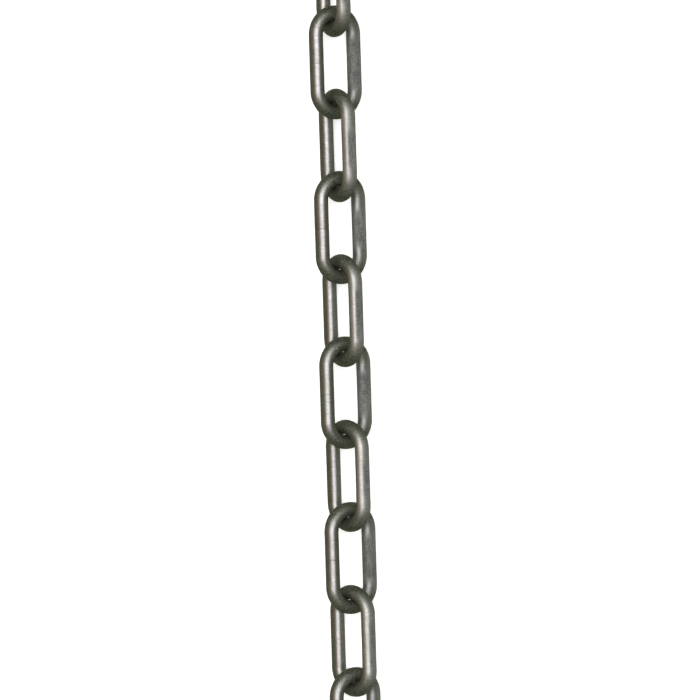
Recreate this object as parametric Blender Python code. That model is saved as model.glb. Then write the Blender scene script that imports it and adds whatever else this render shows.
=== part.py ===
"""A one metre cut of steel chain, lying straight on a level floor.

Every link is a length of round steel wire bent into an oval, its two ends butt-welded
halfway along one side. Each link passes through the eyes of its neighbours. On the floor
the links lean over onto their lower sides, left and right by turns, until the wire of one
rests against the wire of the next. The chain runs along +X.
"""
import math

import bpy
import numpy as np
from mathutils import Vector

# Driving dimensions, in metres and degrees.
WIRE = 0.008            # diameter of the round wire
LINK_WIDTH = 0.0325     # outside width of a link
LINK_LENGTH = 0.0637    # outside length of a link
LINKS = 21
SEAT_GAP = 0.0003       # left between the wires where two links touch

# How the links lie. Even links all lean alike, and odd ones stand steeper towards +X.
EVEN_LEAN = 35.0        # angle of a link's plane above the floor
ODD_LEAN = 51.0         # the same for the odd links, at the middle of the chain
TWIST = 9.0             # how far the odd links' lean drifts from that
TWIST_PER_LINK = 19.0   # the drift's phase angle from one link to the next

# Flat facets that stand for the round wire and its round bends.
WIRE_SIDES = 12         # facets around the wire
BEND_CORNERS = 8        # corners of each half-circle end; even, so one facet is square to the tip

# Steel, bare and lightly oiled.
STEEL_COLOUR = (0.30, 0.30, 0.27, 1.0)
STEEL_ROUGHNESS = 0.45
SMOOTH_ANGLE = math.radians(35)

BEND_RADIUS = (LINK_WIDTH - WIRE) / 2           # to the middle of the wire
HALF_SIDE = (LINK_LENGTH - LINK_WIDTH) / 2      # half of a link's straight side
TIGHT_STEP = LINK_LENGTH - 2 * WIRE             # between link middles, pulled tight
STEP_SEARCH = 0.00002                           # how finely the lying step is found
POINTS_ON_END = 120                             # points on the wire's middle that it is found with
WIRE_FACET = 2 * math.pi / WIRE_SIDES
# The faceted wire has the round one's area, so that a link keeps its weight.
WIRE_TO_FLAT = WIRE / 2 * math.sqrt(math.pi / (WIRE_SIDES * math.tan(WIRE_FACET / 2)))
WIRE_TO_CORNER = WIRE_TO_FLAT / math.cos(WIRE_FACET / 2)
ACROSS = Vector((0, 0, 1))                      # square to a link's own plane


def clear_scene():
    for thing in list(bpy.data.objects):
        bpy.data.objects.remove(thing, do_unlink=True)


def bare_steel():
    material = bpy.data.materials.new("bare_steel")
    material.use_nodes = True
    shader = material.node_tree.nodes["Principled BSDF"]
    shader.inputs["Base Color"].default_value = STEEL_COLOUR
    shader.inputs["Metallic"].default_value = 1.0
    shader.inputs["Roughness"].default_value = STEEL_ROUGHNESS
    return material


def lean(number):
    """The turn of a link's plane about the chain, from flat: up to +Y, or up to -Y if negative."""
    if number % 2 == 0:
        return math.radians(EVEN_LEAN)
    from_middle = number - (LINKS + 1) // 2
    return -math.radians(ODD_LEAN + TWIST * math.sin(math.radians(TWIST_PER_LINK) * from_middle))


def height(number):
    """The middle of a link stands this high when its lower side lies on the floor."""
    return BEND_RADIUS * math.sin(abs(lean(number))) + WIRE_TO_FLAT


def end_of_wire(number, towards):
    """Points along the middle of the wire around one end of a link, its own middle at x = 0."""
    around = np.linspace(-math.pi / 2, math.pi / 2, POINTS_ON_END)
    sideways = BEND_RADIUS * np.sin(around)
    return np.column_stack((towards * (HALF_SIDE + BEND_RADIUS * np.cos(around)),
                            sideways * math.cos(lean(number)),
                            sideways * math.sin(lean(number)) + height(number)))


def step_after(number):
    """Slide the next link up from pulled tight until the two wires just clear each other."""
    here, there = end_of_wire(number, 1), end_of_wire(number + 1, -1)
    step = TIGHT_STEP
    while True:
        apart = here[:, None] - (there + (step, 0, 0))[None]
        if np.sqrt((apart ** 2).sum(axis=2).min()) >= WIRE + SEAT_GAP:
            return step
        step -= STEP_SEARCH


def link_places():
    """Where each link's middle is along X, the two ends equally far from zero."""
    places = [0.0]
    for number in range(1, LINKS):
        places.append(places[-1] + step_after(number))
    return [place - places[-1] / 2 for place in places]


def oval_corners():
    """Corners of the link's middle line, and the way out of the oval at each.

    The facets touch the true half circles at their own middles, so an eye is nowhere
    smaller than that of the round link. The way out is longer than one by the mitre
    where two facets meet, which keeps the wire as thick on the facets as it should be.
    """
    facet = math.pi / BEND_CORNERS
    mitre = 1 / math.cos(facet / 2)
    corners = []
    for towards in (1, -1):
        bend_middle = Vector((towards * HALF_SIDE, 0, 0))
        for corner in range(BEND_CORNERS):
            angle = (corner + 0.5) * facet - math.pi / 2
            outward = Vector((math.cos(angle), math.sin(angle), 0)) * towards * mitre
            corners.append((bend_middle + outward * BEND_RADIUS, outward))
    return corners


def wire_ring(point, outward, first_corner):
    """The corners of the wire's section at one corner of the oval."""
    ring = []
    for side in range(WIRE_SIDES):
        angle = first_corner + side * WIRE_FACET
        ring.append(point + WIRE_TO_CORNER * (math.cos(angle) * outward + math.sin(angle) * ACROSS))
    return ring


def link_mesh(number):
    """An oval of wire in its own XY plane, turned so that one facet will lie on the floor."""
    facing_floor = abs(lean(number)) - math.pi / 2
    first_corner = facing_floor + WIRE_FACET / 2
    rings = [wire_ring(point, outward, first_corner) for point, outward in oval_corners()]
    faces = []
    for ring in range(len(rings)):
        here, ahead = ring * WIRE_SIDES, (ring + 1) % len(rings) * WIRE_SIDES
        for side in range(WIRE_SIDES):
            beside = (side + 1) % WIRE_SIDES
            faces.append((here + side, ahead + side, ahead + beside, here + beside))
    mesh = bpy.data.meshes.new(f"link_{number:02d}")
    mesh.from_pydata([corner for ring in rings for corner in ring], [], faces)
    mesh.shade_smooth()
    mesh.set_sharp_from_angle(angle=SMOOTH_ANGLE)
    return mesh


def add_link(number, place, material):
    mesh = link_mesh(number)
    mesh.materials.append(material)
    link = bpy.data.objects.new(mesh.name, mesh)
    bpy.context.collection.objects.link(link)
    link.location = (place, 0, height(number))
    link.rotation_euler = (lean(number), 0, 0)


clear_scene()
steel = bare_steel()
for link_number, link_place in enumerate(link_places(), start=1):
    add_link(link_number, link_place, steel)
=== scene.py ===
import math

import bpy
import numpy as np
from mathutils import Matrix, Vector, noise


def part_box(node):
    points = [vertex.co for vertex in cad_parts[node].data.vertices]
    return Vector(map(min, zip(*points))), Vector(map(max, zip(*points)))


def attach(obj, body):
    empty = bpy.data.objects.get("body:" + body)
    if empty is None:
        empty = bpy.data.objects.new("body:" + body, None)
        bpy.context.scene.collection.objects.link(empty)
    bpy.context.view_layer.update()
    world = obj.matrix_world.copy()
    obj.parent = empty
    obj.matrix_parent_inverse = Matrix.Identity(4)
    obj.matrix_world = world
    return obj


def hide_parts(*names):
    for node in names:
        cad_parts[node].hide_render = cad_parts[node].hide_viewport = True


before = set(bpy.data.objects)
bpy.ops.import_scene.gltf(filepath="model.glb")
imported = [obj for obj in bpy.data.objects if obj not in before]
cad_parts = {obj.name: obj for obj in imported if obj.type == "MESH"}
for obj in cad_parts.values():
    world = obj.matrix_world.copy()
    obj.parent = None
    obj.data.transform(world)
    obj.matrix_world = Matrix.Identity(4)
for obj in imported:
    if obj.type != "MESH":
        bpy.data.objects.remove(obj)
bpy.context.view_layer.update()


# ---------------------------------------------------------------------------------------
# Link. One length of drawn steel wire, 8 mm thick, bent hot into an oval through the eye
# of the link before it, with its ends butt-welded halfway along one side and dressed. The
# other side carries the long dull flat that the welding jaws press into it.
# ---------------------------------------------------------------------------------------
WIRE_RADIUS = 0.0040
BEND_RADIUS = 0.01225          # to the middle of the wire
HALF_SIDE = 0.0156             # half of a straight side
BEND_LENGTH = math.pi * BEND_RADIUS
WIRE_LENGTH = 2 * BEND_LENGTH + 4 * HALF_SIDE
TIPS = (HALF_SIDE + BEND_LENGTH / 2, 3 * HALF_SIDE + 1.5 * BEND_LENGTH)    # along it, from the weld
CAD_WIRE_TO_FLAT = 0.003954    # the CAD wire has twelve flats, and lies on one of them
RINGS = 240                    # along the wire
SPOKES = 48                    # around it
JAW_FLAT_HALF = 0.0112         # half of the flat's length, on average
JAW_FLAT_VARIES = 0.0028       # how far that differs from link to link
JAW_FLAT_FADE = 0.0036
JAW_FLAT_MIDDLE = -0.0012      # from halfway along its side
JAW_FLAT_DEPTH = 0.00030
# Around the wire, from the outside of the oval: the direction of the flat, and how far its
# dull patch reaches to both sides of that. The jaws hold every second link by its edge.
JAW_FLAT_FACES = {"even": math.radians(116), "odd": math.radians(2)}
DULL_REACH = {"even": (math.radians(50), math.radians(74)), "odd": (math.radians(24), math.radians(44))}
DULL_BESIDE_FLAT = 0.28        # how dull that side is beyond the flat's ends
WELD_LINE_DEPTH = 0.00006      # of the fine groove left where the wire's two ends meet
WELD_LINE_WIDTH = 0.0005
# A thin film of scale lies on the outside of the same side, and inside the eye on the other. The same places
# are painted lighter, as painted light on those flanks.
OUTER_FILM_AND_FLANK_LIGHT = math.radians(22), (math.radians(52), math.radians(88))
INNER_FILM_AND_FLANK_LIGHT = math.radians(180), (math.radians(8), math.radians(35))
INNER_FILM_AND_FLANK_LIGHT_SHARE = 0.7         # of the outer film's strength
ROLLED_IN = math.radians(7.5)  # how far the shading leans, to bring highlights towards the eye
UNEVENNESS = 0.00005           # of the drawn wire's radius
SQUEEZE = 0.00008              # how much flatter the wire is, in the link's plane, at the tips
TIGHT_STEP = 2 * (HALF_SIDE + BEND_RADIUS - WIRE_RADIUS)    # between links pulled tight
UPSET = 0.00027                # extra thickness inside a tip, besides half of the joint's slack
UPSET_ASIDE = 0.0009           # its middle, from the tip towards the jaw side
UPSET_SPREAD = {"weld side": 0.0020, "jaw side": 0.0036}
UPSET_SHARPNESS = 12           # how closely it keeps to the inside of the eye


def wire_middle(along):
    """Point and outward direction on the middle line, going round from the weld."""
    if along < HALF_SIDE:
        return Vector((-along, BEND_RADIUS, 0)), Vector((0, 1, 0))
    along -= HALF_SIDE
    if along < BEND_LENGTH:
        turn = math.pi / 2 + along / BEND_RADIUS
        outward = Vector((math.cos(turn), math.sin(turn), 0))
        return Vector((-HALF_SIDE, 0, 0)) + BEND_RADIUS * outward, outward
    along -= BEND_LENGTH
    if along < 2 * HALF_SIDE:
        return Vector((along - HALF_SIDE, -BEND_RADIUS, 0)), Vector((0, -1, 0))
    along -= 2 * HALF_SIDE
    if along < BEND_LENGTH:
        turn = -math.pi / 2 + along / BEND_RADIUS
        outward = Vector((math.cos(turn), math.sin(turn), 0))
        return Vector((HALF_SIDE, 0, 0)) + BEND_RADIUS * outward, outward
    along -= BEND_LENGTH
    return Vector((HALF_SIDE - along, BEND_RADIUS, 0)), Vector((0, 1, 0))


def smooth(low, high, value):
    """0 below low, 1 above high, and an even ease between them."""
    part = min(1.0, max(0.0, (value - low) / (high - low)))
    return part * part * (3 - 2 * part)


def in_bend(along):
    """How far round a bend a point is: 0 on the straight sides, 1 at the tip of the link."""
    from_tip = min(abs(along - tip) for tip in TIPS)
    return 1 - smooth(0.22 * BEND_LENGTH, 0.52 * BEND_LENGTH, from_tip)


def in_jaw_flat(along, number):
    """1 where the welding jaws have pressed the wire, fading out at both ends of the flat."""
    half = JAW_FLAT_HALF + JAW_FLAT_VARIES * math.sin(1.9 * number)
    from_middle = abs(along - WIRE_LENGTH / 2 - JAW_FLAT_MIDDLE)
    return 1 - smooth(half - JAW_FLAT_FADE, half + JAW_FLAT_FADE, from_middle)


def kind_of(number):
    """Even links lean to one side and odd links to the other."""
    return "odd" if number % 2 else "even"


def facing(around, way, reach):
    """1 where the wire faces one way, fading out between the two angles of its reach."""
    return smooth(math.cos(reach[1]), math.cos(reach[0]), math.cos(around - way))


def on_jaw_side(along):
    """1 on the whole side that the jaws hold, fading out round the bends."""
    from_middle = abs(along - WIRE_LENGTH / 2)
    return 1 - smooth(HALF_SIDE + 0.1 * BEND_LENGTH, HALF_SIDE + 0.35 * BEND_LENGTH, from_middle)


def upset(along, around, slack):
    """How much thicker the wire is inside a tip, where the bend squeezes it.

    It fills most of the gap beside the spot where two links bear on each other, so that no
    daylight shows through a joint. slack is what the joints at both tips have.
    """
    thicker = 0.0
    for tip, towards_weld, room in zip(TIPS, (-1, 1), slack):
        past = towards_weld * (along - tip) + UPSET_ASIDE
        spread = UPSET_SPREAD["weld side" if past > 0 else "jaw side"]
        thicker += (room / 2 + UPSET) * math.exp(-(past / spread) ** 2 / 2)
    return thicker * max(0.0, -math.cos(around)) ** UPSET_SHARPNESS


def wire_reach(along, around, number, slack):
    """Radius of the wire at one place: bent, pressed, and never quite even."""
    reach = WIRE_RADIUS
    bend = in_bend(along)
    reach -= SQUEEZE * bend * math.cos(around) ** 2
    reach += upset(along, around, slack)
    reach -= WELD_LINE_DEPTH * max(0.0, 1 - min(along, WIRE_LENGTH - along) / WELD_LINE_WIDTH)
    flat = WIRE_RADIUS - JAW_FLAT_DEPTH * in_jaw_flat(along, number)
    off_flat = math.cos(around - JAW_FLAT_FACES[kind_of(number)])
    if off_flat > 0.2:    # on the flat's own side of the wire
        reach = min(reach, flat / off_flat)
    seed = Vector((3.7 * number, 1.3 * number, 0))
    spot = Vector((along * 130, 0.55 * math.cos(around), 0.55 * math.sin(around)))
    reach += UNEVENNESS * noise.noise(spot + seed)
    return reach


def link_mesh(number, slack):
    """One link around its own middle, with the places on its wire kept for the steel's shader."""
    mesh = bpy.data.meshes.new(f"steel_link_{number:02d}")
    kind = kind_of(number)
    corners, bends, flats, films_and_flank_light = [], [], [], []
    for ring in range(RINGS):
        along = ring / RINGS * WIRE_LENGTH
        point, outward = wire_middle(along)
        for spoke in range(SPOKES):
            around = spoke / SPOKES * 2 * math.pi
            way = math.cos(around) * outward + math.sin(around) * Vector((0, 0, 1))
            corners.append(point + wire_reach(along, around, number, slack) * way)
            bends.append(in_bend(along))
            dull = facing(around, JAW_FLAT_FACES[kind], DULL_REACH[kind])
            flats.append(dull * (DULL_BESIDE_FLAT * on_jaw_side(along)
                                 + (1 - DULL_BESIDE_FLAT) * in_jaw_flat(along, number)))
            # Where the film lies, the shader also paints the colour lighter, as painted light on that flank.
            outer = facing(around, *OUTER_FILM_AND_FLANK_LIGHT) * on_jaw_side(along)
            inner = facing(around, *INNER_FILM_AND_FLANK_LIGHT) * (1 - on_jaw_side(along))
            films_and_flank_light.append(max(outer, INNER_FILM_AND_FLANK_LIGHT_SHARE * inner))
    faces = []
    for ring in range(RINGS):
        ahead = (ring + 1) % RINGS
        for spoke in range(SPOKES):
            beside = (spoke + 1) % SPOKES
            faces.append((ring * SPOKES + spoke, ahead * SPOKES + spoke,
                          ahead * SPOKES + beside, ring * SPOKES + beside))
    mesh.from_pydata(corners, [], faces)
    mesh.shade_smooth()
    mesh.update()
    normals = []
    for vertex, normal in enumerate(mesh.vertex_normals):
        around = vertex % SPOKES / SPOKES * 2 * math.pi
        outward = wire_middle(vertex // SPOKES / RINGS * WIRE_LENGTH)[1]
        axis = outward.cross(Vector((0, 0, 1)))
        normals.append(Matrix.Rotation(-ROLLED_IN * math.sin(around), 3, axis) @ normal.vector)
    mesh.normals_split_custom_set_from_vertices(normals)
    on_wire = mesh.uv_layers.new(name="on_wire")
    places = np.zeros((len(faces) * 4, 2), np.float32)
    for ring in range(RINGS):
        for spoke in range(SPOKES):
            first = (ring * SPOKES + spoke) * 4
            places[first:first + 4] = ((ring, spoke), (ring + 1, spoke),
                                       (ring + 1, spoke + 1), (ring, spoke + 1))
    places /= (RINGS, SPOKES)
    on_wire.uv.foreach_set("vector", places.ravel())
    for name, values in (("bend", bends), ("jaw_flat", flats), ("grey_film_and_flank_light", films_and_flank_light)):
        mesh.attributes.new(name, "FLOAT", "POINT").data.foreach_set("value", values)
    mesh.attributes.new("link_number", "FLOAT", "POINT").data.foreach_set(
        "value", [float(number)] * len(corners))
    return mesh


class Shading:
    """Adds nodes to one shader, each with its inputs given by name or by place."""

    def __init__(self, tree):
        self.tree = tree
        tree.nodes.clear()

    def add(self, kind, inputs=(), **settings):
        made = self.tree.nodes.new(kind)
        for name, value in settings.items():
            setattr(made, name, value)
        for socket, value in dict(inputs).items():
            if isinstance(value, bpy.types.NodeSocket):
                self.tree.links.new(value, made.inputs[socket])
            else:
                made.inputs[socket].default_value = value
        return made

    def math(self, operation, *values, clamp=False):
        return self.add("ShaderNodeMath", dict(enumerate(values)),
                        operation=operation, use_clamp=clamp).outputs[0]

    def ease(self, value, low, high, start=0.0, end=1.0):
        return self.add("ShaderNodeMapRange",
                        {"Value": value, "From Min": low, "From Max": high, "To Min": start, "To Max": end},
                        interpolation_type="SMOOTHSTEP").outputs[0]

    def vector(self, x, y, z):
        return self.add("ShaderNodeCombineXYZ", {"X": x, "Y": y, "Z": z}).outputs[0]

    def mix(self, share, first, second, blend="MIX"):
        return self.add("ShaderNodeMix", {0: share, 6: first, 7: second},
                        data_type="RGBA", blend_type=blend).outputs[2]

    def noise(self, where, scale, detail=2.0, roughness=0.5, distortion=0.0):
        return self.add("ShaderNodeTexNoise",
                        {"Vector": where, "Scale": scale, "Detail": detail,
                         "Roughness": roughness, "Distortion": distortion}).outputs[0]


def bare_steel():
    """Drawn steel with a film of oil: bright on the sides, dark and grainy round the bends with oxide and
    painted shade, and lighter where its grey film carries painted light.
    """
    material = bpy.data.materials.new("bare_oiled_steel")
    material.use_nodes = True
    s = Shading(material.node_tree)

    place = s.add("ShaderNodeSeparateXYZ", {0: s.add("ShaderNodeUVMap", uv_map="on_wire").outputs[0]})
    number = s.add("ShaderNodeAttribute", attribute_name="link_number").outputs["Fac"]
    bend = s.add("ShaderNodeAttribute", attribute_name="bend").outputs["Fac"]
    flat = s.add("ShaderNodeAttribute", attribute_name="jaw_flat").outputs["Fac"]
    film_and_flank_light = s.add("ShaderNodeAttribute", attribute_name="grey_film_and_flank_light").outputs["Fac"]
    along = s.math("MULTIPLY", place.outputs[0], WIRE_LENGTH * 1000)      # mm from the weld
    turn = s.math("MULTIPLY", place.outputs[1], 2 * math.pi)
    outward = s.math("COSINE", turn)
    apart = s.math("ADD", along, s.math("MULTIPLY", number, 37.3))       # so that no two links match

    def on_straight_wire(length_share, thickness):
        """Millimetres on a straightened wire, drawn out along it by a small length_share."""
        return s.vector(s.math("MULTIPLY", apart, length_share), s.math("MULTIPLY", outward, thickness),
                        s.math("MULTIPLY", s.math("SINE", turn), thickness))

    even = on_straight_wire(1.0, 4.0)
    drawn = on_straight_wire(0.05, 4.0)
    long_patches = on_straight_wire(0.4, 4.0)
    rings = on_straight_wire(1.0, 0.7)

    grain = s.noise(even, 2.6, 3.0, 0.6)
    mottle = s.noise(even, 0.45, 4.0, 0.62, 0.4)
    streak = s.noise(drawn, 2.2, 3.0, 0.6)
    cloud = s.noise(even, 0.13, 2.0, 0.5)
    speck = s.noise(even, 1.3, 2.0, 0.55, 0.6)
    fleck = s.noise(even, 1.05, 4.0, 0.68, 0.3)
    blotch = s.noise(long_patches, 0.33, 3.0, 0.6, 0.5)
    chatter = s.noise(rings, 1.1, 3.0, 0.65)

    # Oxide and painted shade: thin on the sides, thick, dark and dull round the bends, where the tips of the
    # links lie in each other's shade.
    oxide_and_shade = s.math("ADD", s.math("MULTIPLY", bend, 0.75),
                   s.math("MULTIPLY", s.ease(mottle, 0.42, 0.72), 0.25), clamp=True)
    steel = s.mix(s.ease(streak, 0.3, 0.7), (0.355, 0.35, 0.357, 1), (0.30, 0.297, 0.29, 1))
    steel = s.mix(s.math("MULTIPLY", s.ease(cloud, 0.4, 0.7), 0.35), steel, (0.24, 0.225, 0.20, 1))
    steel = s.mix(s.math("MULTIPLY", s.ease(fleck, 0.44, 0.62), 0.34), steel, (0.15, 0.152, 0.15, 1))
    steel = s.mix(s.math("MULTIPLY", s.ease(chatter, 0.42, 0.62), 0.30), steel, (0.14, 0.138, 0.13, 1))
    dark = s.mix(s.ease(grain, 0.34, 0.64), (0.065, 0.070, 0.050, 1), (0.265, 0.275, 0.230, 1))
    dark = s.mix(s.math("MULTIPLY", s.ease(speck, 0.30, 0.46, 1.0, 0.0), 0.75), dark, (0.030, 0.033, 0.022, 1))
    dark = s.mix(s.math("MULTIPLY", s.ease(speck, 0.56, 0.68), 0.75), dark, (0.47, 0.48, 0.44, 1))
    colour = s.mix(oxide_and_shade, steel, dark)
    # The jaw side keeps a thin grey film of scale, painted lighter as painted light on that flank, and the
    # pressed flat is all scale.
    film_and_flank_light = s.math("MULTIPLY", film_and_flank_light, s.math("SUBTRACT", 1.0, bend))
    colour = s.mix(s.math("MULTIPLY", film_and_flank_light, 0.8), colour, (1.15, 1.15, 1.10, 1), "MULTIPLY")
    dull = s.mix(s.ease(fleck, 0.36, 0.66), (0.146, 0.149, 0.143, 1), (0.268, 0.271, 0.264, 1))
    dull = s.mix(s.math("MULTIPLY", s.ease(blotch, 0.42, 0.62), 0.45), dull, (0.075, 0.078, 0.072, 1))
    colour = s.mix(flat, colour, dull)
    scale = s.math("ADD", s.math("MULTIPLY", film_and_flank_light, 0.20), s.math("MULTIPLY", flat, 0.28))
    metal = s.math("SUBTRACT", 1.0, scale, clamp=True)

    rough = s.math("ADD", 0.30, s.math("MULTIPLY", grain, 0.10))
    rough = s.math("ADD", rough, s.math("MULTIPLY", oxide_and_shade, 0.18))
    rough = s.math("ADD", rough, s.math("MULTIPLY", film_and_flank_light, 0.03))
    rough = s.math("ADD", rough, s.math("MULTIPLY", flat, 0.40), clamp=True)

    height = s.math("ADD", s.math("MULTIPLY", grain, 0.35), s.math("MULTIPLY", streak, 0.30))
    height = s.math("ADD", height, s.math("MULTIPLY", chatter, 0.35))
    height = s.math("ADD", height, s.math("MULTIPLY", s.math("MULTIPLY", mottle, flat), 1.2))
    height = s.math("ADD", height, s.math("MULTIPLY", s.math("MULTIPLY", speck, bend), 0.9))
    # The dressed weld shows as one hair-fine dark line across the outside of the wire.
    off_weld = s.math("MINIMUM", along, s.math("SUBTRACT", WIRE_LENGTH * 1000, along))
    weld = s.math("MULTIPLY", s.ease(off_weld, 0.05, 0.28, 1.0, 0.0), s.ease(outward, -0.10, 0.25))
    colour = s.mix(s.math("MULTIPLY", weld, 0.45), colour, (0.07, 0.065, 0.055, 1))
    height = s.math("SUBTRACT", height, s.math("MULTIPLY", weld, 1.0))
    bump = s.add("ShaderNodeBump", {"Strength": 0.35, "Distance": 0.00008, "Height": height})
    shader = s.add("ShaderNodeBsdfPrincipled",
                   {"Base Color": colour, "Metallic": metal, "Roughness": rough, "Normal": bump.outputs[0]})
    s.add("ShaderNodeOutputMaterial", {0: shader.outputs[0]})
    return material


steel_finish = bare_steel()
node_names = sorted(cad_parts)
places = [sum(corner.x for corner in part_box(node_name)) / 2 for node_name in node_names]
slacks = [0.0] + [TIGHT_STEP - (after - before) for before, after in zip(places, places[1:])] + [0.0]
for link_number, node_name in enumerate(node_names, start=1):
    low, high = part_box(node_name)
    middle = (low + high) / 2
    half = (high - low) / 2
    lean = math.atan2(half.z - CAD_WIRE_TO_FLAT, half.y - CAD_WIRE_TO_FLAT)
    if link_number % 2:
        lean = -lean
    slack = slacks[link_number - 1:link_number + 1]
    link = bpy.data.objects.new(f"steel_{node_name}", link_mesh(link_number, slack))
    bpy.context.scene.collection.objects.link(link)
    link.data.materials.append(steel_finish)
    link.data.transform(Matrix.Translation(middle) @ Matrix.Rotation(lean, 4, "X"))
    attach(link, node_name)
    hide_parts(node_name)


# ---------------------------------------------------------------------------------------
# Floor. A plain white table top that the chain lies on; it glows a little, as a lit white
# table does in a studio, so that only faint shadows are left around the wire.
# ---------------------------------------------------------------------------------------
FLOOR_HALF = 12.0
FLOOR_DROP = 0.0001            # keeps it just clear of the wire
floor_mesh = bpy.data.meshes.new("white_floor")
floor_corners = [(x * FLOOR_HALF, y * FLOOR_HALF, -FLOOR_DROP) for x, y in ((-1, -1), (1, -1), (1, 1), (-1, 1))]
floor_mesh.from_pydata(floor_corners, [], [(0, 1, 2, 3)])
floor = bpy.data.objects.new("white_floor", floor_mesh)
bpy.context.scene.collection.objects.link(floor)
white_paint = bpy.data.materials.new("white_floor_paint")
white_paint.use_nodes = True
s = Shading(white_paint.node_tree)
shader = s.add("ShaderNodeBsdfPrincipled",
               {"Base Color": (0.9, 0.9, 0.9, 1), "Roughness": 0.9, "Emission Color": (1, 1, 1, 1),
                "Emission Strength": 0.54})
s.add("ShaderNodeOutputMaterial", {0: shader.outputs[0]})
floor_mesh.materials.append(white_paint)
floor.visible_glossy = False


# ---------------------------------------------------------------------------------------
# Light. One soft box almost straight above the chain, a little ahead of it, with a weak warm
# one low on the +Y side, in a dim olive room that darkens the edges of the wire.
# ---------------------------------------------------------------------------------------
world = bpy.data.worlds.new("dim_room_with_soft_box")
bpy.context.scene.world = world
world.use_nodes = True
s = Shading(world.node_tree)
toward = s.add("ShaderNodeSeparateXYZ", {0: s.add("ShaderNodeTexCoord").outputs["Generated"]})
DEGREES = 180 / math.pi
right_of_chain = s.math("MULTIPLY", toward.outputs[1], -1.0)
sideways = s.math("MULTIPLY", s.math("ARCTAN2", right_of_chain, toward.outputs[2]), DEGREES)
lengthways = s.math("MULTIPLY", s.math("ARCTAN2", toward.outputs[0], toward.outputs[2]), DEGREES)
# Each box is full up to the first angle from its own middle and fades out at the second.
box = s.math("MULTIPLY",
             s.ease(s.math("ABSOLUTE", s.math("ADD", sideways, 3)), 16, 36, 1.0, 0.0),
             s.ease(s.math("ABSOLUTE", s.math("SUBTRACT", lengthways, 14)), 18, 40, 1.0, 0.0))
warm = s.math("MULTIPLY",
              s.ease(s.math("ABSOLUTE", s.math("ADD", sideways, 46)), 8, 30, 1.0, 0.0),
              s.ease(s.math("ABSOLUTE", toward.outputs[0]), 0.30, 0.65, 1.0, 0.0))
room = (0.218, 0.242, 0.158, 1)
light = s.mix(warm, room, (0.50, 0.33, 0.16, 1))
light = s.mix(box, light, (4.35, 4.26, 4.40, 1))
background = s.add("ShaderNodeBackground", {"Color": light, "Strength": 1.0})
s.add("ShaderNodeOutputWorld", {0: background.outputs[0]})


# ---------------------------------------------------------------------------------------
# Camera. High above the chain with a long lens, looking almost straight down.
# ---------------------------------------------------------------------------------------
FRAME_PIXELS = 700
PIXELS_PER_METRE = 1784.9
CAMERA_DISTANCE = 2.717
CAMERA_ASIDE = math.radians(3.0)      # off straight down, towards -Y
CAMERA_AHEAD = math.radians(5.05)     # off straight down, towards +X
CAMERA_ROLL = math.radians(1.78)
CHAIN_IN_FRAME = (343.2, 315.7)       # where the chain's middle falls, in pixels
CHAIN_MIDDLE = Vector((0, 0, 0.0125))
back = Vector((math.sin(CAMERA_AHEAD), -math.sin(CAMERA_ASIDE) * math.cos(CAMERA_AHEAD),
               math.cos(CAMERA_ASIDE) * math.cos(CAMERA_AHEAD)))
ahead = (Vector((1, 0, 0)) - back * back.x).normalized()
across = ahead.cross(back)
up = math.cos(CAMERA_ROLL) * ahead + math.sin(CAMERA_ROLL) * across
right = math.cos(CAMERA_ROLL) * across - math.sin(CAMERA_ROLL) * ahead
target = (CHAIN_MIDDLE + right * ((FRAME_PIXELS / 2 - CHAIN_IN_FRAME[0]) / PIXELS_PER_METRE)
          + up * ((CHAIN_IN_FRAME[1] - FRAME_PIXELS / 2) / PIXELS_PER_METRE))
camera_data = bpy.data.cameras.new("camera")
camera = bpy.data.objects.new("camera", camera_data)
bpy.context.scene.collection.objects.link(camera)
camera.matrix_world = (Matrix.Translation(target + back * CAMERA_DISTANCE)
                       @ Matrix((right, up, back)).transposed().to_4x4())
camera_data.sensor_width = 36.0
camera_data.lens = camera_data.sensor_width * CAMERA_DISTANCE / (FRAME_PIXELS / PIXELS_PER_METRE)
camera_data.clip_end = 100.0
bpy.context.scene.camera = camera
bpy.context.scene.view_settings.view_transform = "Standard"
